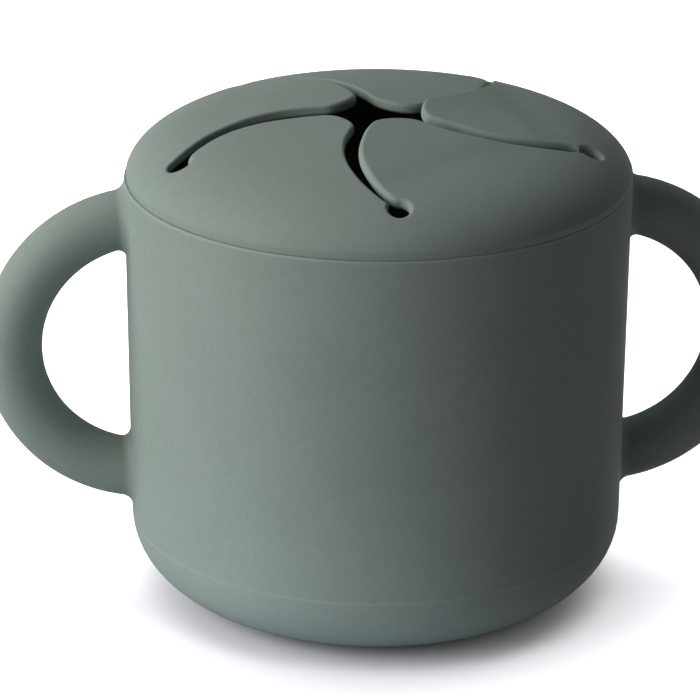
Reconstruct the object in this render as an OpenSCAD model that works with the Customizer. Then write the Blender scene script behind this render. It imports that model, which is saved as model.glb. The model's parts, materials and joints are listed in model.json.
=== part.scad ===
// Toddler snack cup: a soft two-handled cup and a push-through lid with five flaps.
// Millimetres. Z is up, the cup stands on Z = 0 and its handles lie along X.

/* [Cup] */
// Outside diameter at the seam between cup and lid
cup_d = 90; // [84:1:98]
// Height of the seam above the table
seam_h = 77.3; // [72:0.1:84]
// How much narrower the wall is at the foot, on the diameter
wall_draft = 1.3; // [0:0.1:2.4]
// Thickness of the wall
wall_t = 3; // [2.6:0.1:3.4]
// Thickness of the floor
floor_t = 3.5; // [2.5:0.1:5]
// Width of the rounding between wall and base
foot_round_w = 17; // [12:0.5:20]
// Height of the rounding between wall and base
foot_round_h = 14; // [10:0.5:18]

/* [Handles] */
// Diameter of the loop, measured on the middle of the tube
loop_d = 48.6; // [44:0.2:52]
// Diameter of the tube
tube_d = 10.5; // [8:0.5:12]
// Distance from the cup's axis to the middle of the loop
loop_x = 41.1; // [40:0.1:44]
// Height of the middle of the loop above the table
loop_z = 46.7; // [44:0.1:48]

/* [Lid] */
// Height of the domed lid above the seam
lid_rise = 10.7; // [9:0.1:12]
// Extra height of the dome at its middle
crown_rise = 0.6; // [0:0.1:1.2]
// Thickness of the dome and of the flaps
flap_t = 2.5; // [2:0.1:2.8]
// Depth of the plug that goes into the mouth of the cup
plug_h = 9; // [6:0.5:12]
// Thickness of the plug
plug_t = 2.2; // [1.8:0.1:2.6]
// Room between the plug and the wall, on the radius
plug_gap = 0.3; // [0.2:0.05:0.5]

/* [Flaps] */
// Direction of the hole at the end of the first slit
slit_dir = -92; // [-128:1:-56]
// Distance from the lid's middle to the holes at the ends of the slits
hole_at = 38.3; // [37.8:0.1:38.8]
// Diameter of those holes
hole_d = 3.7; // [3:0.1:4]
// Distance from the lid's middle to each flap's bending line
bend_at = 28.5; // [28:0.1:29]
// How far the first flap stands up at rest, in degrees
tilt_1 = 5; // [-5:0.1:8]
// How far the second flap stands up at rest, in degrees
tilt_2 = 6.1; // [-5:0.1:8]
// How far the third flap stands up at rest, in degrees
tilt_3 = -2.8; // [-5:0.1:8]
// How far the fourth flap stands up at rest, in degrees
tilt_4 = 0.7; // [-5:0.1:8]
// How far the fifth flap stands up at rest, in degrees
tilt_5 = 2.1; // [-5:0.1:8]

/* [Hidden] */

silicone_green = "#7f8c82";
round_steps = 12;
flaps = 5;
step = 360 / flaps;

cup_r = cup_d / 2;
base_r = cup_r - wall_draft / 2;
foot_r = base_r - foot_round_w;

// Superellipse powers of the dome, across and up
dome_p = 3.8;
dome_q = 1.95;
crown_r = 38;

plug_r = cup_r - wall_t - plug_gap - 0.1;
plug_in_r = plug_r - plug_t;
bead_h = 0.15;
bead_w = 2;
lead_in = 0.8;

flap_tilt = [tilt_1, tilt_2, tilt_3, tilt_4, tilt_5];

// The flap's edge is a roll round the bending line, in a hollow of the ring.
// It ends before the next slit, which runs almost along the line there.
roll_r = 2.7;
roll_gap = 0.15;
roll_end = 11.8;
roll_end_gap = 0.3;

// The two edges of a slit: distance from the middle, then the direction of the
// edge on either side, counted from the hole at the slit's end
slit_edges = [
    [11.5, -15.2, -29.6],
    [16, -15.5, -24.7],
    [21, -14.3, -19.8],
    [26, -11.7, -14.5],
    [31, -7.5, -8.9],
    [35, -3.2, -4.2],
    [36.9, 0.2, -2.4]
];
// The round tip of a flap, as distance and direction in the same way
flap_tip = [[8.5, 36], [7, 12], [8.3, -11]];
spline_steps = 4;

function polar(r, a) = [r * cos(a), r * sin(a)];

// Height of the dome's outer face at a distance from the axis
function dome_z(r) =
    seam_h + lid_rise * pow(max(0, 1 - pow(r / cup_r, dome_p)), 1 / dome_q)
    + (r < crown_r ? crown_rise * pow(1 - pow(r / crown_r, 2), 2) : 0);

// One point of a smooth curve through four neighbours, between the middle two
function blend4(a, b, c, d, t) =
    0.5 * (2 * b + (c - a) * t + (2 * a - 5 * b + 4 * c - d) * t * t
    + (3 * b - a - 3 * c + d) * t * t * t);

function spline(pts) = concat(
    [for (i = [0:len(pts) - 2], j = [0:spline_steps - 1])
        blend4(pts[max(0, i - 1)], pts[i], pts[i + 1],
               pts[min(len(pts) - 1, i + 2)], j / spline_steps)],
    [pts[len(pts) - 1]]
);

function reversed(pts) = [for (i = [len(pts) - 1:-1:0]) pts[i]];

// The edge at the start of a flap, and the edge at its end, from inside to outside
function start_edge(dir) = [for (e = slit_edges) polar(e[0], dir + e[1])];
function end_edge(dir) = [for (e = slit_edges) polar(e[0], dir + e[2])];
function mid_line(dir) = [for (e = slit_edges) polar(e[0], dir + (e[1] + e[2]) / 2)];

function flap_outline(dir) = spline(concat(
    reversed(end_edge(dir + step)),
    [for (t = flap_tip) polar(t[0], dir + t[1])],
    start_edge(dir)
));

function flap_mid(i) = slit_dir + step * (i + 0.5);

bend_z = (dome_z(bend_at) + dome_z(36) - flap_t) / 2;

// The cup's outside as one solid, which also trims the handles' roots
module cup_envelope() {
    rotate_extrude($fn = 180)
        polygon(concat(
            [[0, 0]],
            [for (i = [0:round_steps])
                let (a = 90 * i / round_steps)
                [foot_r + foot_round_w * sin(a), foot_round_h * (1 - cos(a))]],
            [[cup_r, seam_h], [0, seam_h]]
        ));
}

// The space inside the cup, open at the top
module cup_hollow() {
    in_base_r = base_r - wall_t;
    in_w = foot_round_w - wall_t;
    in_h = foot_round_h - wall_t;
    rotate_extrude($fn = 180)
        polygon(concat(
            [[0, floor_t]],
            [for (i = [0:round_steps])
                let (a = 90 * i / round_steps)
                [in_base_r - in_w + in_w * sin(a), floor_t + in_h * (1 - cos(a))]],
            [[cup_r - wall_t, seam_h], [cup_r - wall_t, seam_h + 1], [0, seam_h + 1]]
        ));
}

module cup_body() {
    color(silicone_green)
        difference() {
            cup_envelope();
            cup_hollow();
        }
}

// A round tube bent into a loop that ends on the cup's wall
module handle(side) {
    color(silicone_green)
        difference() {
            translate([side * loop_x, 0, loop_z])
                rotate([90, 0, 0])
                    rotate_extrude($fn = 120)
                        translate([loop_d / 2, 0])
                            circle(d = tube_d, $fn = 48);
            cup_envelope();
        }
}

// The whole lid before its slits: dome, shoulder on the rim, and plug
module lid_blank() {
    bead_z = seam_h - plug_h / 2;
    rotate_extrude($fn = 180)
        polygon(concat(
            [for (i = [0:18])
                let (r = cup_r * pow(cos(5 * i), 2 / dome_p))
                [r, dome_z(r)]],
            [for (i = [0:9])
                let (r = plug_in_r * sin(10 * i))
                [r, dome_z(r) - flap_t]],
            [
                [plug_in_r, seam_h - plug_h],
                [plug_r - lead_in, seam_h - plug_h],
                [plug_r, seam_h - plug_h + lead_in],
                [plug_r, bead_z - bead_w / 2],
                [plug_r + bead_h, bead_z - bead_w / 4],
                [plug_r + bead_h, bead_z + bead_w / 4],
                [plug_r, bead_z + bead_w / 2],
                [plug_r, seam_h]
            ]
        ));
}

// What lies inside a flap's bending line, with a roll of radius r on the line
module bend_zone(i, r, end) {
    rotate([0, 0, flap_mid(i)]) {
        translate([bend_at - cup_r, end - cup_d, seam_h])
            cube([cup_r, cup_d, 30]);
        translate([bend_at, end, bend_z])
            rotate([90, 0, 0])
                cylinder(r = r, h = cup_r, $fn = 60);
    }
}

module upright(pts) {
    translate([0, 0, seam_h - 20])
        linear_extrude(50)
            polygon(pts);
}

// The sector that one flap moves in, between the middles of its two slits
module flap_sector(i) {
    dir = slit_dir + step * i;
    upright(concat(
        [[0, 0]],
        spline(mid_line(dir)),
        [polar(hole_at, dir), polar(cup_r, dir + step / 2), polar(hole_at, dir + step)],
        reversed(spline(mid_line(dir + step)))
    ));
}

// The ring that carries the flaps, with the outer ends of the slits
module lid_ring() {
    color(silicone_green)
        difference() {
            lid_blank();
            for (i = [0:flaps - 1]) {
                dir = slit_dir + step * i;
                intersection() {
                    flap_sector(i);
                    bend_zone(i, roll_r + roll_gap, roll_end + roll_end_gap);
                }
                upright(concat(spline(start_edge(dir)), reversed(spline(end_edge(dir)))));
                translate(concat(polar(hole_at, dir), [seam_h - 20]))
                    cylinder(d = hole_d, h = 50, $fn = 48);
            }
        }
}

// One flap, turned about its bending line to the way it stands at rest
module flap(i) {
    dir = slit_dir + step * i;
    mid = flap_mid(i);
    hinge = concat(polar(bend_at, mid), [bend_z]);
    color(silicone_green)
        translate(hinge)
            rotate(flap_tilt[i], [-sin(mid), cos(mid), 0])
                translate(-hinge)
                    intersection() {
                        lid_blank();
                        upright(concat(flap_outline(dir), [polar(cup_r, mid)]));
                        bend_zone(i, roll_r, roll_end);
                    }
}

cup_body();
handle(-1);  // handle_left
handle(1);  // handle_right
lid_ring();
flap(0);  // flap_1
flap(1);  // flap_2
flap(2);  // flap_3
flap(3);  // flap_4
flap(4);  // flap_5
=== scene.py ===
import json
import math

import bpy
import numpy as np
from mathutils import Matrix, Vector
from mathutils.geometry import delaunay_2d_cdt


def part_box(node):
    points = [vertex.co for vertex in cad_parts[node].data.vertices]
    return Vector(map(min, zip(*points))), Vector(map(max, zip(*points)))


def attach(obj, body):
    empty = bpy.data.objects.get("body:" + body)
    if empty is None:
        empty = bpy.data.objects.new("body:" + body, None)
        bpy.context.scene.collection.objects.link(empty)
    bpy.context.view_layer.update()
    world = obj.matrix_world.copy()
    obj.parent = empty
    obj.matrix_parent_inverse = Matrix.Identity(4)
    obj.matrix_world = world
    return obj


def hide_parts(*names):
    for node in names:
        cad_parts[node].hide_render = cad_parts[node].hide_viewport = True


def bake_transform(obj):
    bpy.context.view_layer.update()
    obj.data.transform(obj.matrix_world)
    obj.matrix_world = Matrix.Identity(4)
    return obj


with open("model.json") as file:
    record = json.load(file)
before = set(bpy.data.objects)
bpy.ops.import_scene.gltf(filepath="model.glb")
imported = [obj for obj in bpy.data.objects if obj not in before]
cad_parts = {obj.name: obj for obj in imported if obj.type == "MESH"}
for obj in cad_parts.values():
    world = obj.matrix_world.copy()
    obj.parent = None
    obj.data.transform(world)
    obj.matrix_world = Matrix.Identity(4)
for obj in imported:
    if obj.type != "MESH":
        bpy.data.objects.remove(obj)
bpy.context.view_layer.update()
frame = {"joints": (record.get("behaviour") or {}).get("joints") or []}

# Sizes are in millimetres and angles in degrees, unless a name says otherwise.
# Meshes are turned into metres when they are made.
MM = 0.001


def box_mm(node):
    low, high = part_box(node)
    return np.array(low) / MM, np.array(high) / MM


# The cup: a round wall with a little draft on a rounded foot
cup_high = box_mm("cup_body")[1]
CUP_R = cup_high[0]
SEAM_Z = cup_high[2]
WALL_DRAFT = 0.65
BASE_R = CUP_R - WALL_DRAFT
FOOT_W = 17.0
FOOT_H = 14.0
FOOT_R = BASE_R - FOOT_W
WALL_T = 3.0
FLOOR_T = 3.5
RIM_EDGE = 0.15
RIM_INNER_EDGE = 0.4
# The two halves of the mould met on top of the foot. The foot is this much narrower there,
# and the wall is back at its full width this much higher.
PARTING_IN = 0.03
PARTING_H = 0.3

# The loop handles. The tube is a little thicker than the solid's, and reaches as far out.
handle_low, handle_high = box_mm("handle_right")
TUBE_R = 5.3
LOOP_OUT = (handle_high[2] - handle_low[2]) / 2
LOOP_R = LOOP_OUT - TUBE_R
LOOP_X = handle_high[0] - LOOP_OUT
LOOP_Z = (handle_high[2] + handle_low[2]) / 2
ROOT_FILLET = 1.9

# The lid: a domed ring with a plug below, and five flaps
LID_RISE = 10.7
CROWN_RISE = 0.6
CROWN_R = 38.0
DOME_ACROSS = 3.8
DOME_UP = 1.95
# The dome's turned edge starts at the shoulder. At its lower end it draws in from the rim:
# how far, and over which height.
SHOULDER_R = 42.0
LID_EDGE_W = 0.06
LID_EDGE_H = 1.3
FLAP_T = 2.1
PLUG_H = 9.0
PLUG_R = 41.5
PLUG_IN_R = 39.0
LEAD_IN = 0.5
BEAD_H = 0.15
BEAD_W = 2.0
SEAT_GAP = 0.02
FLAPS = 5
STEP = 360 / FLAPS
HOLE_AT = 38.3
HOLE_R = 1.9
# The soft lid sits a little unevenly: how far it is off the middle of the cup, and how
# far each hole and the middle of the slits are off their places in it
LID_SHIFT = (0.2, 0, 0)
HOLE_SHIFT = [(0.24, 0.2), (-0.29, 0.27), (-0.1, 0.26), (-0.22, -0.7), (0.48, -1.46)]
MIDDLE_SHIFT = (-0.03, -0.15)
# How much further off the two edges of each slit are, which opens some slits wider. It
# grows from nothing over this length, from the middle outwards.
SHIFT_LENGTH = 6
START_SHIFT = [(0, 0), (0.1, 1.35), (0.1, -0.5), (0, 0), (0, -0.15)]
END_SHIFT = [(-0.4, 0), (0, -0.5), (-0.2, -0.5), (0, 0), (-0.45, 0.75)]
# The rounding of the edges along the slits: on top, at a flap's start and at its end,
# and underneath
START_EDGE = 0.9
END_EDGE = 0.5
UNDER_EDGE = 0.9
# Where the ring ends and the flaps begin, on each hole's edge, and where a flap's start
# leaves the hole, in degrees round the hole from its outer side
NECK_START = 126
NECK_END = [126, 126, 126, 126, 85]
SLIT_START = 188
# The two edges of a slit: distance from the middle, then the direction of the
# edge on either side, counted from the hole at the slit's end
SLIT_EDGES = [
    (11.5, -16.5, -29.6), (16, -16.5, -24.9), (21, -15.0, -20.1),
    (26, -11.8, -14.9), (31, -7.3, -9.4), (35, -3.0, -4.7),
]
# The round tip of a flap, as distance and direction in the same way
FLAP_TIP = [(8.5, 36), (7, 12), (8.3, -11)]
# How far each flap stands up at rest, and how much higher it is at one side of its tip
FLAP_TILT = [4.4, 5.4, 0.5, 2.9, 1.6]
FLAP_TWIST = [-0.4, 2.5, 1.2, 0.1, 0.56]
TWIST_LENGTH = 24
TWIST_WIDTH = 15
# From where it leaves the ring, a flap's twist grows in over about this width, and the flap bends
# over this width as it stands at rest
BEND_W = 5.6
REST_BEND_W = 10.0

# Mesh fineness
COLUMNS = 384
WALL_ROWS = 53
TUBE_SIDES = 64
CURVE_STEP = 0.4
GRID_STEP = 1.0
ARC_STEP = 0.8
HOLE_STEP = 0.35
# The wall is open round each root of a handle, where triangles fill it: this many columns
# to either side, this many rows at a lower and at an upper root, and points this far apart
WINDOW_COLUMNS = 13
WINDOW_ROWS_LOW = 14
WINDOW_ROWS_HIGH = 12
WINDOW_STEP = 0.9
# Distances from a root at which the wall has a ring of points
ROOT_ROWS = (0.35, 0.7, 1.05, 1.4, 1.75, 2.15, 2.6)
# Distances from either root at which the loop has a ring of points, the number of even
# rings between them, and how far the loop runs from root to root
LOOP_ROWS = np.array([0, 0.3, 0.6, 0.9, 1.2, 1.5, 1.8, 2.15, 2.6, 3.2, 4.0, 5.0])
LOOP_EVEN_ROWS = 50
LOOP_TURN = 163
# Distances from the edge of an opening in the lid at which the mesh has a row of points,
# and how far those rows and the even grid stay from the line where a flap leaves the ring
EDGE_ROWS = np.array([0, 0.06, 0.2, 0.38, 0.6, 0.9, 1.35])
ROW_ROOM = 0.16
GRID_ROOM = 0.45

# The table, in metres: its colour where it is seen, and a painted pool of bounce light, the colour that
# lights the object from below, which changes with the distance from a place at the cup's front left
TABLE_HALF = 3.0
TABLE_COLOUR = (0.484, 0.483, 0.5, 1)
BOUNCE_MIDDLE = (-0.027, -0.046, 0)
BOUNCE_START = 0.02
BOUNCE_REACH = 0.065
BOUNCE_NEAR = (0.258, 0.278, 0.334, 1)
BOUNCE_FAR = (0.050, 0.045, 0.045, 1)

# The camera, with its distance and aim in metres: it aims this far to the right of the cup's
# middle and this high
CAMERA_TURN = -6.116
CAMERA_DOWN = 21.558
CAMERA_ROLL = -0.336
CAMERA_AWAY = 0.745488
CAMERA_AIM = (-0.004827, 0.043738)
CAMERA_LENS = 212.94

hinges = {j["child"]: j for j in frame["joints"] if j["child"].startswith("flap")}
first_hinge = np.array(hinges["flap_1"]["pos_m"]) / MM
BEND_AT = math.hypot(first_hinge[0], first_hinge[1])
BEND_Z = first_hinge[2]
FIRST_MID = math.degrees(math.atan2(first_hinge[1], first_hinge[0]))
SLIT_DIR = FIRST_MID - STEP / 2


def polar(r, direction):
    a = np.radians(direction)
    return np.stack([r * np.cos(a), r * np.sin(a)], axis=-1)


def unit(v):
    return v / np.maximum(np.linalg.norm(v, axis=-1, keepdims=True), 1e-12)


def turned(points, direction):
    """Flat points turned about the middle."""
    c, s = math.cos(math.radians(direction)), math.sin(math.radians(direction))
    return np.asarray(points) @ np.array([[c, s], [-s, c]])


def smooth_line(points, step):
    """A smooth curve through the points, cut into even lengths of about one step."""
    p = np.array(points, float)
    p = np.vstack([p[:1], p, p[-1:]])
    t = np.linspace(0, 1, 24, endpoint=False)[:, None]
    parts = [
        0.5 * (2 * b + (c - a) * t + (2 * a - 5 * b + 4 * c - d) * t**2
               + (3 * b - a - 3 * c + d) * t**3)
        for a, b, c, d in zip(p, p[1:], p[2:], p[3:])
    ]
    line = np.vstack(parts + [p[-1:]])
    along = np.concatenate([[0], np.cumsum(np.linalg.norm(np.diff(line, axis=0), axis=1))])
    even = np.linspace(0, along[-1], max(1, round(along[-1] / step)) + 1)
    return np.column_stack([np.interp(even, along, line[:, k]) for k in range(2)])


def nearest_on(points, loop):
    """How far each flat point is from a closed loop, which way it lies, and its nearest leg."""
    leg = np.roll(loop, -1, axis=0) - loop
    leg_sq = (leg**2).sum(1)
    far, way = np.zeros(len(points)), np.zeros((len(points), 2))
    nearest = np.zeros(len(points), int)
    for i in range(0, len(points), 1000):
        p = points[i:i + 1000, None, :]
        t = np.clip(((p - loop) * leg).sum(2) / leg_sq, 0, 1)
        to = loop + t[..., None] * leg - p
        gap = np.linalg.norm(to, axis=2)
        best = gap.argmin(1)
        rows = np.arange(len(best))
        far[i:i + 1000] = gap[rows, best]
        way[i:i + 1000] = unit(to[rows, best])
        nearest[i:i + 1000] = best
    return far, way, nearest


def triangles(points, loops):
    """Flat triangles between points that keep to the loops, and the loops that hold each."""
    p = np.asarray(points)
    around = []
    for loop in loops:
        q = p[list(loop)]
        left = (q[:, 0] * np.roll(q[:, 1], -1) - q[:, 1] * np.roll(q[:, 0], -1)).sum() > 0
        around.append([int(i) for i in loop][::1 if left else -1])
    _, _, faces, source, _, holders = delaunay_2d_cdt(
        [Vector(q) for q in p], [], around, 0, 1e-6, True)
    faces = [[source[i][0] for i in f] for f in faces]
    out = []
    for f, held in zip(faces, holders):
        (ax, ay), (bx, by), (cx, cy) = p[f]
        area = (bx - ax) * (cy - ay) - (by - ay) * (cx - ax)
        out.append((f if area > 0 else f[::-1], set(held)))
    return out


def hex_grid(half_w, half_h, step):
    """Flat points in rows a step apart, each row shifted by half a step."""
    rows = []
    for j, y in enumerate(np.arange(-half_h, half_h + step, step * math.sqrt(0.75))):
        x = np.arange(-half_w, half_w + step, step) + (j % 2) * step / 2
        rows.append(np.column_stack([x, np.full(len(x), y)]))
    return np.vstack(rows)


class Skin:
    """The points, faces and known normals of one closed mesh."""

    def __init__(self):
        self.points = []
        self.normals = []
        self.faces = []

    def add(self, points, normals=None):
        start = len(self.points)
        points = np.asarray(points, float)
        if normals is None:
            normals = np.zeros_like(points)
        self.points.extend(points)
        self.normals.extend(normals)
        return list(range(start, len(self.points)))

    def band(self, lower, upper, closed=True, skip=()):
        """Quads between two rows of as many points, facing left of the way from lower to upper."""
        n = len(lower)
        for i in range(n if closed else n - 1):
            if i not in skip:
                j = (i + 1) % n
                self.faces.append([lower[i], lower[j], upper[j], upper[i]])

    def make(self, name, material, shift=(0, 0, 0)):
        used = sorted({i for f in self.faces for i in f})
        place = {old: new for new, old in enumerate(used)}
        mesh = bpy.data.meshes.new(name)
        mesh.from_pydata(((np.array(self.points)[used] + shift) * MM).tolist(), [],
                         [[place[i] for i in f] for f in self.faces])
        mesh.shade_smooth()
        mesh.set_sharp_from_angle(angle=math.radians(55))
        mesh.normals_split_custom_set_from_vertices(np.array(self.normals)[used].tolist())
        mesh.materials.append(material)
        obj = bpy.data.objects.new(name, mesh)
        bpy.context.scene.collection.objects.link(obj)
        return obj


COLUMN_ANGLES = np.arange(COLUMNS) * 2 * math.pi / COLUMNS


def ring_points(r, z):
    """One point per column at height z, at radius r, which may differ by column."""
    r = np.broadcast_to(r, COLUMNS)
    z = np.broadcast_to(z, COLUMNS)
    return np.column_stack([r * np.cos(COLUMN_ANGLES), r * np.sin(COLUMN_ANGLES), z])


def quarter(count):
    """Angles in radians up to a right angle, without 0."""
    return np.radians(np.linspace(0, 90, count + 1))[1:]


# The cup's outer surface as a signed gap, from which its edges and fillets follow
def wall_radius(z):
    return BASE_R + (CUP_R - BASE_R) * (z - FOOT_H) / (SEAM_Z - FOOT_H)


def wall_gap(p):
    return np.hypot(p[:, 0], p[:, 1]) - wall_radius(p[:, 2])


def loop_gap(p):
    from_middle = np.hypot(np.abs(p[:, 0]) - LOOP_X, p[:, 2] - LOOP_Z)
    return np.hypot(from_middle - LOOP_R, p[:, 1]) - TUBE_R


def cup_gap(p):
    """Gap outside wall and handles, joined by a round fillet, with a round edge at the rim."""
    wall, loop, over = wall_gap(p), loop_gap(p), p[:, 2] - SEAM_Z
    joined = np.maximum(ROOT_FILLET, np.minimum(wall, loop)) - np.hypot(
        np.maximum(ROOT_FILLET - wall, 0), np.maximum(ROOT_FILLET - loop, 0))
    return np.minimum(-RIM_EDGE, np.maximum(joined, over)) + np.hypot(
        np.maximum(RIM_EDGE + joined, 0), np.maximum(RIM_EDGE + over, 0))


def cup_slope(p):
    h = 1e-4
    return np.stack([
        (cup_gap(p + h * axis) - cup_gap(p - h * axis)) / (2 * h) for axis in np.eye(3)
    ], axis=1)


def settled(points):
    """The points moved onto the cup's outer surface, and its normals there."""
    p = np.array(points, float)
    for _ in range(12):
        slope = cup_slope(p)
        p -= slope * (cup_gap(p) / np.maximum((slope**2).sum(1), 1e-6))[:, None]
    return p, unit(cup_slope(p))


def tube_point(side, along, around):
    """A point on a handle's tube, by its angle along the loop and round the tube."""
    r = LOOP_R + TUBE_R * np.cos(around)
    return np.stack([
        side * (LOOP_X + r * np.cos(along)), TUBE_R * np.sin(around), LOOP_Z + r * np.sin(along)
    ], axis=-1)


def root_angles(sign, around):
    """How far along the loop each line of the tube meets the wall, at its upper or lower end."""
    inside = np.full(len(around), sign * math.radians(89.9))
    outside = np.full(len(around), sign * math.radians(60))
    for _ in range(40):
        middle = (inside + outside) / 2
        hit = wall_gap(tube_point(1, middle, around)) < 0
        inside, outside = np.where(hit, middle, inside), np.where(hit, outside, middle)
    return middle


def parting_wobble():
    """The little unevenness of the parting line, by column."""
    a = COLUMN_ANGLES
    return 1 + 0.22 * np.sin(5 * a + 1) + 0.18 * np.sin(13 * a + 2.2) + 0.15 * np.sin(31 * a + 0.4)


def outer_rows():
    """Radius and height of the rows outside the cup: of foot, wall and the rim's edge."""
    foot = [(r, 0) for r in (9, 18, FOOT_R - 0.6)]
    step_r = -PARTING_IN * parting_wobble()
    for a in np.radians(np.linspace(0, 90, 19)):
        share = math.sin(a)
        foot.append((FOOT_R + FOOT_W * share + step_r * share**2, FOOT_H * (1 - math.cos(a))))
    for t in np.linspace(0, 1, 7)[1:]:
        foot.append((BASE_R + step_r * (1 - t * t * (3 - 2 * t)), FOOT_H + PARTING_H * t))
    edge_z = SEAM_Z - RIM_EDGE
    heights = np.linspace(FOOT_H + PARTING_H + 0.4, edge_z, WALL_ROWS)
    wall = [(wall_radius(z), z) for z in heights]
    edge_r = wall_radius(edge_z) - RIM_EDGE
    edge = [(edge_r + RIM_EDGE * math.cos(a), edge_z + RIM_EDGE * math.sin(a)) for a in quarter(6)]
    return foot, wall, edge


def inner_rows():
    """Radius and height of the rows from the rim's inner edge down the inside to the floor."""
    in_rim = CUP_R - WALL_T
    in_base = BASE_R - WALL_T
    rows = [(in_rim + RIM_INNER_EDGE, SEAM_Z)]
    for a in quarter(5):
        rows.append((in_rim + RIM_INNER_EDGE * (1 - math.sin(a)),
                     SEAM_Z - RIM_INNER_EDGE * (1 - math.cos(a))))
    for z in np.linspace(SEAM_Z - 3, FOOT_H + 3, 12):
        rows.append((in_base + (in_rim - in_base) * (z - FOOT_H) / (SEAM_Z - FOOT_H), z))
    for a in np.radians(np.linspace(90, 0, 16)):
        rows.append((FOOT_R + (FOOT_W - WALL_T) * math.sin(a),
                     FLOOR_T + (FOOT_H - WALL_T) * (1 - math.cos(a))))
    return rows + [(r, FLOOR_T) for r in (18, 9)]


def window_places(wall_start, wall_end):
    """The columns, first row and last row of each window, by side and by root."""
    low_rows = (wall_start, wall_start + WINDOW_ROWS_LOW)
    high_rows = (wall_end - WINDOW_ROWS_HIGH, wall_end)
    windows = {}
    for side, middle_column in ((1, 0), (-1, COLUMNS // 2)):
        reach = range(-WINDOW_COLUMNS, WINDOW_COLUMNS + 1)
        columns = [(middle_column + c) % COLUMNS for c in reach]
        for sign, (first, last) in ((-1, low_rows), (1, high_rows)):
            windows[side, sign] = (columns, first, last)
    return windows


def window_border(rows, columns, first, last):
    """The points round one window of the wall."""
    border = [rows[first][c] for c in columns]
    border += [rows[r][columns[-1]] for r in range(first + 1, last + 1)]
    border += [rows[last][c] for c in columns[-2::-1]]
    border += [rows[r][columns[0]] for r in range(last - 1, first, -1)]
    return border


def fill_window(skin, side, border, root):
    """Fills a window round the root of a handle with triangles, and gives the new points."""
    def flat(indices):
        p = np.array([skin.points[i] for i in indices])
        return np.column_stack([np.arctan2(side * p[:, 1], side * p[:, 0]) * CUP_R, p[:, 2]])

    edge, hole = flat(border), flat(root)
    middle = hole.mean(0)
    rings = np.vstack([middle + (hole - middle) * (1 + d / TUBE_R) for d in ROOT_ROWS])
    low, high = edge.min(0), edge.max(0)
    rings = rings[np.all((rings > low + 0.3) & (rings < high - 0.25), axis=1)]
    grid = hex_grid(*((high - low) / 2), WINDOW_STEP) + (high + low) / 2
    grid = grid[np.all((grid > low + 0.5) & (grid < high - 0.5), axis=1)]
    grid = grid[np.linalg.norm(grid - middle, axis=1) > TUBE_R + ROOT_ROWS[-1] + 0.6]
    extra = np.vstack([rings, grid])
    radius = wall_radius(extra[:, 1])
    angle = extra[:, 0] / CUP_R
    added = skin.add(np.column_stack([
        side * radius * np.cos(angle), side * radius * np.sin(angle), extra[:, 1]]))
    everything = border + root + added
    n, k = len(border), len(root)
    for face, held in triangles(np.vstack([edge, hole, extra]), [range(n), range(n, n + k)]):
        if held == {0}:
            skin.faces.append([everything[i] for i in face])
    return added


def add_loop(skin, side):
    """The tube of one handle, as rings of points from its upper root to its lower one."""
    around = np.arange(TUBE_SIDES) * 2 * math.pi / TUBE_SIDES
    upper_root, lower_root = root_angles(1, around), root_angles(-1, around)
    length = np.radians(LOOP_TURN) * LOOP_R
    near = LOOP_ROWS[-1]
    even = np.linspace(near, length - near, LOOP_EVEN_ROWS + 2)[1:-1]
    rings = []
    for share in np.concatenate([LOOP_ROWS, even, length - LOOP_ROWS[::-1]]) / length:
        along = upper_root + (lower_root - upper_root) * share
        rings.append(skin.add(tube_point(side, along, around)))
    for a, b in zip(rings, rings[1:]):
        skin.band(*((b, a) if side > 0 else (a, b)))
    return rings


def make_cup(material):
    skin = Skin()
    foot, wall, edge = outer_rows()
    middle_below = skin.add([[0, 0, 0]])[0]
    rows = [skin.add(ring_points(r, z)) for r, z in foot + wall + edge + inner_rows()]
    middle_above = skin.add([[0, 0, FLOOR_T]])[0]
    wall_end = len(foot) + len(wall) - 1
    outer_end = wall_end + len(edge)

    # The body, with windows in the wall round the four roots of the handles
    windows = window_places(len(foot), wall_end)
    skipped = {}
    for columns, first, last in windows.values():
        for r in range(first, last):
            skipped.setdefault(r, set()).update(columns[:-1])
    for r in range(len(rows) - 1):
        skin.band(rows[r], rows[r + 1], skip=skipped.get(r, ()))
    for i in range(COLUMNS):
        j = (i + 1) % COLUMNS
        skin.faces.append([middle_below, rows[0][j], rows[0][i]])
        skin.faces.append([middle_above, rows[-1][i], rows[-1][j]])

    # The loops and the filled windows, whose points then move onto the fillets
    moved = set()
    for side in (1, -1):
        rings = add_loop(skin, side)
        for ring in rings:
            moved.update(ring)
        for sign, root in ((1, rings[0]), (-1, rings[-1])):
            border = window_border(rows, *windows[side, sign])
            moved.update(border, fill_window(skin, side, border, root))
        # The rim's edge above the upper root follows the fillet
        columns = windows[side, 1][0]
        for row in rows[wall_end:outer_end + 1]:
            moved.update(row[c] for c in columns)
    moved = sorted(moved)
    points, normals = settled(np.array(skin.points)[moved])
    for i, p, n in zip(moved, points, normals):
        skin.points[i] = p
        skin.normals[i] = n

    cup = skin.make("cup", material)
    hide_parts("cup_body", "handle_left", "handle_right")
    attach(cup, "cup")


def dome_z(r):
    across = np.maximum(1 - (r / CUP_R) ** DOME_ACROSS, 0) ** (1 / DOME_UP)
    crown = np.where(r < CROWN_R, (1 - (r / CROWN_R) ** 2) ** 2, 0)
    return SEAM_Z + LID_RISE * across + CROWN_RISE * crown


def neck_x():
    """How far from the lid's middle a flap leaves the ring, along the flap's own middle."""
    return HOLE_AT * math.cos(math.radians(STEP / 2))


def off_place(k, r):
    """How far slit k is off its place, at a distance from the middle."""
    share = min(max((r - FLAP_TIP[0][0]) / (HOLE_AT - FLAP_TIP[0][0]), 0), 1)
    hole, middle = np.array(HOLE_SHIFT[k % FLAPS]), np.array(MIDDLE_SHIFT)
    return middle + (hole - middle) * share


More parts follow.
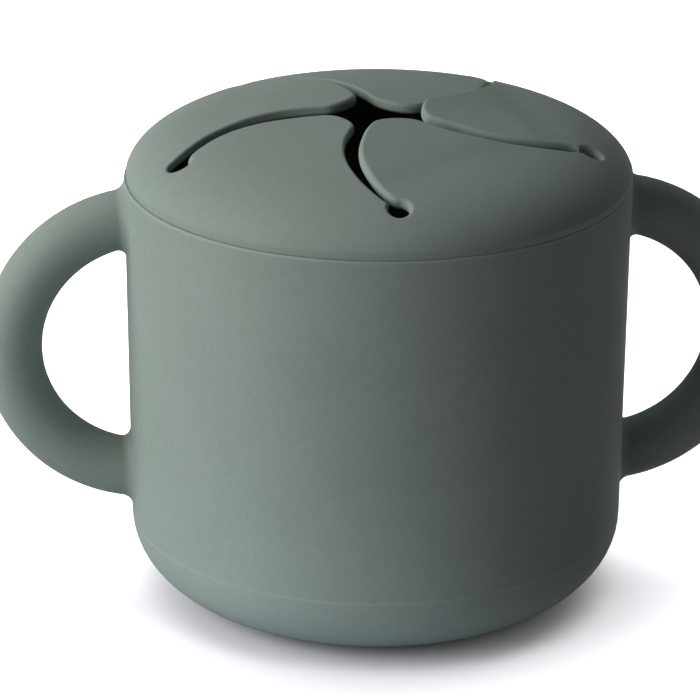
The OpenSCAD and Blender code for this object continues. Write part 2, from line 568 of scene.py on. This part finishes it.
def hole_middle(k):
    return polar(HOLE_AT, SLIT_DIR + STEP * k) + off_place(k, HOLE_AT)


def slit_point(k, r, turn, opened=((0, 0),) * FLAPS):
    """A point near slit k; opened is how much further off that edge of each slit is."""
    share = min(max((r - FLAP_TIP[0][0]) / SHIFT_LENGTH, 0), 1)
    more = np.array(opened[k % FLAPS]) * share
    return polar(r, SLIT_DIR + STEP * k + turn) + off_place(k, r) + more


def stood_up(xy, z, flap):
    """Points of the lid, those of a flap turned about its bending line as it stands at rest."""
    if flap is None:
        return np.column_stack([xy, z])
    mid = FIRST_MID + STEP * flap
    local = turned(xy, -mid)
    t = np.clip((neck_x() - local[:, 0]) / REST_BEND_W, 0, 1)
    angle = math.radians(FLAP_TILT[flap]) * t * t * (3 - 2 * t)
    c, s = np.cos(angle), np.sin(angle)
    in_from_neck = np.maximum(neck_x() - local[:, 0], 0)
    lean = FLAP_TWIST[flap] / TWIST_LENGTH * in_from_neck**2 / (in_from_neck + BEND_W)
    x, up = local[:, 0] - BEND_AT, z - BEND_Z + lean * local[:, 1] / TWIST_WIDTH
    local = np.column_stack([BEND_AT + x * c + up * s, local[:, 1]])
    return np.column_stack([turned(local, mid), BEND_Z - x * s + up * c])


def edge_drop(far, size):
    """How much a round edge lies below the face, at a distance from where the face ends."""
    d = np.clip(size - far, 0, size)
    return size - np.sqrt(size**2 - d**2)


def lid_surface(xy, far, way, size, flap, top):
    """Points and normals on the upper or the lower face of the lid, with rounded edges."""
    def face(p):
        z = dome_z(np.linalg.norm(p, axis=1)) - (0 if top else FLAP_T)
        return stood_up(p, z, flap)

    h = 1e-3
    du = (face(xy + [h, 0]) - face(xy - [h, 0])) / (2 * h)
    dv = (face(xy + [0, h]) - face(xy - [0, h])) / (2 * h)
    up = unit(np.cross(du, dv))
    out = way[:, :1] * du + way[:, 1:] * dv
    out = unit(out - up * (out * up).sum(1, keepdims=True))
    lean = (np.clip(size - far, 0, size) / size)[:, None]
    sign = 1 if top else -1
    normal = unit(out * lean + sign * up * np.sqrt(1 - lean**2))
    z = dome_z(np.linalg.norm(xy, axis=1))
    z = z - edge_drop(far, size) if top else z - FLAP_T + edge_drop(far, size)
    return stood_up(xy, z, flap), normal


def hole_arc(k, start, end):
    """The edge of a slit's hole between two directions, counted from its outer side."""
    count = max(2, round(abs(end - start) * math.pi / 180 * HOLE_R / HOLE_STEP))
    x, y = hole_middle(k)
    out = math.degrees(math.atan2(y, x))
    return np.array([x, y]) + polar(HOLE_R, out + np.linspace(start, end, count + 1))


def plug_side(k):
    """Where round hole k its edge meets the inside of the plug."""
    at = np.linalg.norm(hole_middle(k))
    c = (PLUG_IN_R**2 - at**2 - HOLE_R**2) / (2 * at * HOLE_R)
    return math.degrees(math.acos(c))


def lid_opening():
    """The loop round holes, slits and middle, the rounding of its edge, and its stretches."""
    loop, rounding, hole_parts, flap_parts = [], [], [], []

    def extend(points, *sizes):
        start = len(loop)
        loop.extend(points[:-1])
        share = np.linspace(0, len(sizes) - 1, len(points) - 1)
        rounding.extend(np.interp(share, range(len(sizes)), sizes))
        return list(range(start, len(loop) + 1))

    for k in range(FLAPS):
        beta = plug_side(k)
        hole_parts.append([
            extend(hole_arc(k, -NECK_END[k], -beta), END_EDGE, END_EDGE),
            extend(hole_arc(k, -beta, beta), END_EDGE, START_EDGE),
            extend(hole_arc(k, beta, NECK_START), START_EDGE, START_EDGE),
        ])
        arc = extend(hole_arc(k, NECK_START, SLIT_START), START_EDGE, START_EDGE)
        points = [hole_arc(k, NECK_START, SLIT_START)[-1]]
        points += [slit_point(k, r, a, START_SHIFT) for r, a, _ in reversed(SLIT_EDGES)]
        points += [slit_point(k, r, a) for r, a in reversed(FLAP_TIP)]
        points += [slit_point(k + 1, r, b, END_SHIFT) for r, _, b in SLIT_EDGES]
        points += [hole_arc(k + 1, -NECK_END[(k + 1) % FLAPS], 0)[0]]
        side = extend(smooth_line(points, CURVE_STEP),
                      START_EDGE, START_EDGE, START_EDGE, END_EDGE, END_EDGE, END_EDGE)
        flap_parts.append(arc[:-1] + side)
    n = len(loop)

    def wrapped(part):
        return [i % n for i in part]

    return (np.array(loop), np.array(rounding),
            [[wrapped(p) for p in parts] for parts in hole_parts],
            [wrapped(p) for p in flap_parts])


def even_line(start, end, steps):
    """Points between start and end: close together near both ends, as the steps say."""
    length = np.linalg.norm(end - start)
    middle = np.linspace(steps[-1], length - steps[-1], round((length - 2 * steps[-1]) / GRID_STEP) + 1)
    along = np.concatenate([steps[1:-1], middle, (length - np.array(steps[1:-1]))[::-1]])
    return start + (end - start) * (along / length)[:, None]


def neck_lines(loop, flap_parts):
    """The lines along which the flaps leave the ring: their indices and their new points."""
    necks, points = [], []
    for part in flap_parts:
        line = even_line(loop[part[0]], loop[part[-1]], EDGE_ROWS)
        start = len(loop) + len(points)
        points.extend(line)
        necks.append([part[0]] + list(range(start, start + len(line))) + [part[-1]])
    return necks, np.array(points)


def clear_of(points, lines, room):
    """The flat points that lie further than room from every line, given by its two ends."""
    keep = np.ones(len(points), bool)
    for a, b in lines:
        t = np.clip((points - a) @ (b - a) / ((b - a) @ (b - a)), 0, 1)
        keep &= np.linalg.norm(points - a - t[:, None] * (b - a), axis=1) > room
    return points[keep]


def filling_points(loop, away, lines):
    """Flat points for all of the lid: rows along the opening's edge, then an even grid."""
    rows = []
    for d in EDGE_ROWS[1:]:
        p = loop + away * d
        far = nearest_on(p, loop)[0]
        rows.append(p[far > d * 0.97])
    grid = hex_grid(CUP_R, CUP_R, GRID_STEP)
    far = nearest_on(grid, loop)[0]
    grid = grid[far > EDGE_ROWS[-1] + 0.5 * GRID_STEP]
    return np.vstack([
        clear_of(np.vstack(rows), lines, ROW_ROOM),
        clear_of(grid, lines, GRID_ROOM),
    ])


class LidLayout:
    """What the two faces of the lid share: the opening's edge, the necks and flat points."""

    def __init__(self):
        self.loop, self.rounding, self.hole_parts, self.flap_parts = lid_opening()
        leg = unit(np.roll(self.loop, -1, axis=0) - self.loop)
        tangent = unit(leg + np.roll(leg, 1, axis=0))
        self.away = np.column_stack([tangent[:, 1], -tangent[:, 0]])
        self.necks, neck_points = neck_lines(self.loop, self.flap_parts)
        self.points = np.vstack([self.loop, neck_points])
        ends = [self.points[[neck[0], neck[-1]]] for neck in self.necks]
        self.filling = filling_points(self.loop, self.away, ends)
        # The edge of each flap, back along its neck
        self.flap_loops = [
            part + neck[-2:0:-1] for part, neck in zip(self.flap_parts, self.necks)]
        # Where each hole cuts into the inside of the plug
        self.grooves = [middle for _, middle, _ in self.hole_parts]


class LidFace:
    """The upper or the lower face of the lid: flat points, and triangles by piece."""

    def __init__(self, layout, outer, outer_points, outer_r, top):
        inner = layout.filling[np.linalg.norm(layout.filling, axis=1) < outer_r - 0.5]
        self.top = top
        self.points = np.vstack([layout.points, outer_points, inner])
        self.far, self.way, leg_of = nearest_on(self.points, layout.loop)
        n = len(layout.loop)
        self.far[:n] = 0
        self.way[:n] = -layout.away
        self.size = layout.rounding[leg_of] if top else np.full(len(self.points), UNDER_EDGE)
        # The triangles of each flap by its number, and those of the ring by None
        self.pieces = {}
        for face, held in triangles(self.points, [range(n)] + layout.flap_loops + [outer]):
            if 0 in held or FLAPS + 1 not in held:
                continue
            flap = next((k for k in range(FLAPS) if k + 1 in held), None)
            self.pieces.setdefault(flap, []).append(face if top else face[::-1])

    def add_to(self, skin, flap):
        """Adds one piece of the face to the skin, and gives the place there of each point."""
        faces = self.pieces[flap]
        used = sorted({i for f in faces for i in f})
        xyz, normal = lid_surface(
            self.points[used], self.far[used], self.way[used], self.size[used], flap, self.top)
        index = dict(zip(used, skin.add(xyz, normal)))
        skin.faces += [[index[i] for i in f] for f in faces]
        return index


def upper_face(layout):
    """The lid's upper face, which runs out to the shoulder."""
    start = len(layout.points)
    circle = ring_points(SHOULDER_R, 0)[:, :2]
    return LidFace(layout, range(start, start + COLUMNS), circle, SHOULDER_R, True)


def lower_face(layout):
    """The lid's lower face, and the arcs between the grooves on the inside of the plug."""
    arcs, points = [], []
    for k in range(FLAPS):
        start, end = layout.grooves[k][-1], layout.grooves[(k + 1) % FLAPS][0]
        a, b = layout.points[start], layout.points[end]
        from_a = math.degrees(math.atan2(a[1], a[0]))
        to_b = from_a + (math.degrees(math.atan2(b[1], b[0])) - from_a) % 360
        count = round((to_b - from_a) * math.pi / 180 * PLUG_IN_R / ARC_STEP)
        line = polar(PLUG_IN_R, np.linspace(from_a, to_b, count + 1)[1:-1])
        first = len(layout.points) + len(points)
        points.extend(line)
        arcs.append([start] + list(range(first, first + len(line))) + [end])
    outer = [i for arc in arcs for i in arc]
    return LidFace(layout, outer, np.array(points), PLUG_IN_R, False), arcs


def make_flap(k, material, layout, upper, lower):
    skin = Skin()
    up, down = upper.add_to(skin, k), lower.add_to(skin, k)
    edge = layout.flap_loops[k]
    skin.band([up[i] for i in edge], [down[i] for i in edge])
    flap = skin.make(f"flap_{k + 1}_soft", material, LID_SHIFT)
    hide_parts(f"flap_{k + 1}")
    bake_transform(flap)


def add_plug_inside(skin, layout, lower, arcs, up, down):
    """The inside of the plug, with a groove below each hole, down to the points it gives."""
    low = {}
    for groove, arc in zip(layout.grooves, arcs):
        for i in groove[:-1] + arc[:-1]:
            low[i] = skin.add([[*lower.points[i], SEAM_Z - PLUG_H]])[0]
    for groove, arc in zip(layout.grooves, arcs):
        for a, b in zip(groove, groove[1:]):
            # Of a groove, only the two ends are on the lower face
            edge_b = [down[b]] if b in down else []
            edge_a = [down[a]] if a in down else []
            skin.faces.append([up[a], up[b], *edge_b, low[b], low[a], *edge_a])
        skin.band([down[i] for i in arc], [low[i] for i in arc], closed=False)
    return low


def lid_profile():
    """Radius and height of the lid's turned rows, from the shoulder to the plug's end."""
    first_a = math.asin((SHOULDER_R / CUP_R) ** (DOME_ACROSS / 2))
    last_a = math.acos((LID_EDGE_H / LID_RISE) ** (DOME_UP / 2))
    profile = []
    for a in np.linspace(first_a, last_a, 14)[1:]:
        r = CUP_R * math.sin(a) ** (2 / DOME_ACROSS)
        profile.append((r, float(dome_z(r))))

    # The lower edge, drawn in from the rim
    seat_z = SEAM_Z + SEAT_GAP
    edge_z = seat_z + LID_EDGE_H
    widest = profile[-1][0]
    profile[-1] = (widest, edge_z)
    for t in np.linspace(0, 1, 9)[1:]:
        profile.append((widest - LID_EDGE_W + LID_EDGE_W * (1 - t * t), edge_z - LID_EDGE_H * t))

    # The seat on the cup's rim, the plug with its bead, and the lead-in at its end
    plug_z = SEAM_Z - PLUG_H
    bead_z = SEAM_Z - PLUG_H / 2
    profile += [(PLUG_R + 0.3, seat_z), (PLUG_R + 0.09, seat_z - 0.09), (PLUG_R, seat_z - 0.3)]
    for t in np.linspace(-1, 1, 9):
        profile.append((PLUG_R + BEAD_H * math.cos(t * math.pi / 2) ** 2, bead_z - t * BEAD_W / 2))
    return profile + [
        (PLUG_R, plug_z + LEAD_IN), (PLUG_R - 0.12, plug_z + LEAD_IN * 0.6),
        (PLUG_R - LEAD_IN * 0.6, plug_z + 0.12), (PLUG_R - LEAD_IN, plug_z),
    ]


def add_plug_end(skin, lower, low, outer):
    """Closes the plug's end, between its inside and the last turned row."""
    flat_outer = np.array([skin.points[i][:2] for i in outer])
    flat = np.vstack([lower.points[list(low)], flat_outer])
    everything = list(low.values()) + outer
    n = len(low)
    for face, held in triangles(flat, [range(n), range(n, n + COLUMNS)]):
        if held == {1}:
            skin.faces.append([everything[i] for i in face[::-1]])


def make_ring(material, layout, upper, lower, arcs):
    skin = Skin()
    up, down = upper.add_to(skin, None), lower.add_to(skin, None)
    hole_sides = [part for first, _, last in layout.hole_parts for part in (first, last)]
    for part in layout.necks + hole_sides:
        skin.band([up[i] for i in part], [down[i] for i in part], closed=False)
    low = add_plug_inside(skin, layout, lower, arcs, up, down)
    start = len(layout.points)
    row = [up[start + c] for c in range(COLUMNS)]
    for r, z in lid_profile():
        above, row = row, skin.add(ring_points(r, z))
        skin.band(row, above)
    add_plug_end(skin, lower, low, row)
    ring = skin.make("lid_dome", material, LID_SHIFT)
    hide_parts("lid_ring")
    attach(ring, "lid")


def make_lid(material):
    layout = LidLayout()
    upper = upper_face(layout)
    lower, arcs = lower_face(layout)
    for k in range(FLAPS):
        make_flap(k, material, layout, upper, lower)
    make_ring(material, layout, upper, lower, arcs)


# Materials
def node_material(name):
    material = bpy.data.materials.new(name)
    material.use_nodes = True
    tree = material.node_tree
    tree.nodes.clear()
    return material, tree


def add_node(tree, kind, inputs=None, **settings):
    node = tree.nodes.new(kind)
    for key, value in settings.items():
        setattr(node, key, value)
    for key, value in (inputs or {}).items():
        if isinstance(value, bpy.types.NodeSocket):
            tree.links.new(value, node.inputs[key])
        else:
            node.inputs[key].default_value = value
    return node


def srgb(r, g, b):
    def linear(c):
        return c / 12.92 if c <= 0.04045 else ((c + 0.055) / 1.055) ** 2.4
    return (linear(r), linear(g), linear(b), 1)


# Painted highlights: thin paler lines round the cup, on the foot where the mould parted and just under
# the rim, where those edges catch the light
GREEN_LIGHT = srgb(0.564, 0.612, 0.580)
GREEN_DARK = srgb(0.540, 0.588, 0.554)
PARTING_HIGHLIGHT = srgb(0.578, 0.628, 0.594)
RIM_HIGHLIGHT = srgb(0.598, 0.648, 0.614)
PAINTED_HIGHLIGHT_LINES = [(FOOT_H - 0.05, PARTING_HIGHLIGHT), (SEAM_Z - 0.2, RIM_HIGHLIGHT)]
# A painted highlight line is full this far from its middle, and gone this far
HIGHLIGHT_FULL = 0.05
HIGHLIGHT_GONE = 0.4


def painted_highlight_line(tree, place, colour, height, pale):
    """The colour with a thin paler line round the cup at a height, a painted highlight."""
    z = add_node(tree, "ShaderNodeSeparateXYZ", {0: place}).outputs["Z"]
    above = add_node(tree, "ShaderNodeMath", {0: z, 1: height * MM}, operation="SUBTRACT")
    away = add_node(tree, "ShaderNodeMath", {0: above.outputs[0]}, operation="ABSOLUTE")
    share = add_node(tree, "ShaderNodeMapRange",
                     {"Value": away.outputs[0], "From Min": HIGHLIGHT_FULL * MM,
                      "From Max": HIGHLIGHT_GONE * MM, "To Min": 1.0, "To Max": 0.0})
    return add_node(tree, "ShaderNodeMix", {0: share.outputs[0], 6: colour, 7: pale},
                    data_type="RGBA").outputs[2]


def silicone(name, light, dark, lines=()):
    """Matte moulded silicone: faint clouding, a satin grain and slightly uneven gloss."""
    material, tree = node_material(name)
    place = add_node(tree, "ShaderNodeTexCoord").outputs["Object"]
    clouds = add_node(tree, "ShaderNodeTexNoise",
                      {"Vector": place, "Scale": 55, "Detail": 3, "Roughness": 0.55})
    specks = add_node(tree, "ShaderNodeTexNoise",
                      {"Vector": place, "Scale": 900, "Detail": 2, "Roughness": 0.6})
    mixed = add_node(tree, "ShaderNodeMath", {0: clouds.outputs["Fac"], 1: specks.outputs["Fac"]},
                     operation="ADD")
    share = add_node(tree, "ShaderNodeMapRange",
                     {"Value": mixed.outputs[0], "From Min": 0.7, "From Max": 1.3})
    colour = add_node(tree, "ShaderNodeMix", {0: share.outputs[0], 6: dark, 7: light},
                      data_type="RGBA").outputs[2]
    # Paler lines at the given heights: painted highlights
    for height, pale in lines:
        colour = painted_highlight_line(tree, place, colour, height, pale)
    gloss = add_node(tree, "ShaderNodeMapRange",
                     {"Value": clouds.outputs["Fac"], "From Min": 0.3, "From Max": 0.7,
                      "To Min": 0.7, "To Max": 0.78})
    grain = add_node(tree, "ShaderNodeTexNoise",
                     {"Vector": place, "Scale": 2600, "Detail": 2, "Roughness": 0.5})
    waves = add_node(tree, "ShaderNodeTexNoise",
                     {"Vector": place, "Scale": 160, "Detail": 2, "Roughness": 0.5})
    fine = add_node(tree, "ShaderNodeBump",
                    {"Height": grain.outputs["Fac"], "Strength": 0.25, "Distance": 0.00008})
    both = add_node(tree, "ShaderNodeBump",
                    {"Height": waves.outputs["Fac"], "Strength": 0.2, "Distance": 0.0002,
                     "Normal": fine.outputs["Normal"]})
    shader = add_node(tree, "ShaderNodeBsdfPrincipled",
                      {"Base Color": colour, "Roughness": gloss.outputs[0],
                       "Normal": both.outputs["Normal"], "Specular IOR Level": 0.05})
    add_node(tree, "ShaderNodeOutputMaterial", {"Surface": shader.outputs[0]})
    return material


def seen_directly(tree):
    """1 for what the camera sees itself, in a mirror or through glass, and 0 for other light."""
    path = add_node(tree, "ShaderNodeLightPath")
    first = add_node(tree, "ShaderNodeMath",
                     {0: path.outputs["Is Camera Ray"], 1: path.outputs["Is Glossy Ray"]},
                     operation="MAXIMUM")
    return add_node(tree, "ShaderNodeMath",
                    {0: first.outputs[0], 1: path.outputs["Is Transmission Ray"]},
                    operation="MAXIMUM").outputs[0]


def floor_material():
    """A pale matte table, which throws only a little light back onto the object, as a painted pool of
    bounce light that is brightest near the cup's front left.
    """
    material, tree = node_material("table")
    place = add_node(tree, "ShaderNodeTexCoord").outputs["Object"]
    away = add_node(tree, "ShaderNodeVectorMath", {0: place, 1: BOUNCE_MIDDLE}, operation="DISTANCE")
    share = add_node(tree, "ShaderNodeMapRange",
                     {"Value": away.outputs["Value"], "From Min": BOUNCE_START,
                      "From Max": BOUNCE_REACH})
    bounce = add_node(tree, "ShaderNodeMix",
                      {0: share.outputs[0], 6: BOUNCE_NEAR, 7: BOUNCE_FAR}, data_type="RGBA")
    colour = add_node(tree, "ShaderNodeMix",
                      {0: seen_directly(tree), 6: bounce.outputs[2], 7: TABLE_COLOUR},
                      data_type="RGBA")
    shader = add_node(tree, "ShaderNodeBsdfDiffuse", {"Color": colour.outputs[2]})
    add_node(tree, "ShaderNodeOutputMaterial", {"Surface": shader.outputs[0]})
    return material


def make_floor():
    s = TABLE_HALF
    mesh = bpy.data.meshes.new("table")
    mesh.from_pydata([(-s, -s, 0), (s, -s, 0), (s, s, 0), (-s, s, 0)], [], [(0, 1, 2, 3)])
    mesh.materials.append(floor_material())
    floor = bpy.data.objects.new("table", mesh)
    bpy.context.scene.collection.objects.link(floor)
    return floor


def set_world():
    """White where the world is seen behind the table, and no light from it."""
    world = bpy.data.worlds.new("studio")
    bpy.context.scene.world = world
    world.use_nodes = True
    tree = world.node_tree
    tree.nodes.clear()
    dark = add_node(tree, "ShaderNodeBackground", {"Color": (1, 1, 1, 1), "Strength": 0.0})
    white = add_node(tree, "ShaderNodeBackground", {"Color": (1, 1, 1, 1), "Strength": 1.0})
    both = add_node(tree, "ShaderNodeMixShader",
                    {0: seen_directly(tree), 1: dark.outputs[0], 2: white.outputs[0]})
    add_node(tree, "ShaderNodeOutputWorld", {"Surface": both.outputs[0]})


def direction(turn, up):
    """The way from the object to a place round it: turn 0 is the front, 90 the right."""
    a, e = math.radians(turn), math.radians(up)
    return Vector((math.sin(a) * math.cos(e), -math.cos(a) * math.cos(e), math.sin(e)))


def make_camera():
    data = bpy.data.cameras.new("camera")
    data.lens = CAMERA_LENS
    data.sensor_width = 36
    data.clip_start = 0.01
    camera = bpy.data.objects.new("camera", data)
    bpy.context.scene.collection.objects.link(camera)
    back = direction(CAMERA_TURN, CAMERA_DOWN)
    level = Vector((0, 0, 1)).cross(back).normalized()
    right = Matrix.Rotation(math.radians(CAMERA_ROLL), 3, -back) @ level
    up = back.cross(right)
    aim = CAMERA_AIM[0] * level + Vector((0, 0, CAMERA_AIM[1]))
    matrix = Matrix((right, up, back)).transposed().to_4x4()
    matrix.translation = aim + back * CAMERA_AWAY
    camera.matrix_world = matrix
    bpy.context.scene.camera = camera


def soft_light(name, turn, up, away, width, height, power, only=None):
    """A lamp that faces the cup, in metres and watts, on all objects or on only one."""
    data = bpy.data.lights.new(name, "AREA")
    data.shape = "RECTANGLE"
    data.size = width
    data.size_y = height
    data.energy = power
    light = bpy.data.objects.new(name, data)
    bpy.context.scene.collection.objects.link(light)
    middle = Vector((0, 0, SEAM_Z * MM / 2))
    place = middle + direction(turn, up) * away
    light.matrix_world = Matrix.LocRotScale(
        place, (place - middle).to_track_quat("Z", "Y"), None)
    if only:
        lit = bpy.data.collections.new(name + "_lights")
        lit.objects.link(only)
        light.light_linking.receiver_collection = lit


def make_lights(table):
    # Each lamp's place as turn, height in degrees and distance, then its size and its power
    soft_light("key", CAMERA_TURN - 75, 25, 0.75, 0.7, 0.5, 5.95)
    soft_light("front", CAMERA_TURN - 40, 15, 0.75, 0.7, 0.5, 0.55)
    soft_light("side", CAMERA_TURN + 35, 15, 0.9, 0.5, 0.5, 0.3)
    soft_light("back", CAMERA_TURN + 180, 55, 0.9, 0.8, 0.8, 1.75)
    # These light the table alone, so that it is white without stronger lamps on the object
    for place, turn, power in (("back", 180, 58), ("front", 0, 7.4), ("left", -90, 7.5),
                               ("right", 90, 8.0)):
        soft_light("table_" + place, CAMERA_TURN + turn, 45, 1.0, 1.8, 1.8, power, only=table)
    soft_light("table_top", CAMERA_TURN, 89, 0.9, 0.8, 0.8, 8.1, only=table)


make_cup(silicone("cup_silicone_green", GREEN_LIGHT, GREEN_DARK, PAINTED_HIGHLIGHT_LINES))
make_lid(silicone("lid_silicone_green", GREEN_LIGHT, GREEN_DARK))
table = make_floor()
set_world()
make_camera()
make_lights(table)

bpy.context.scene.view_settings.view_transform = "Standard"
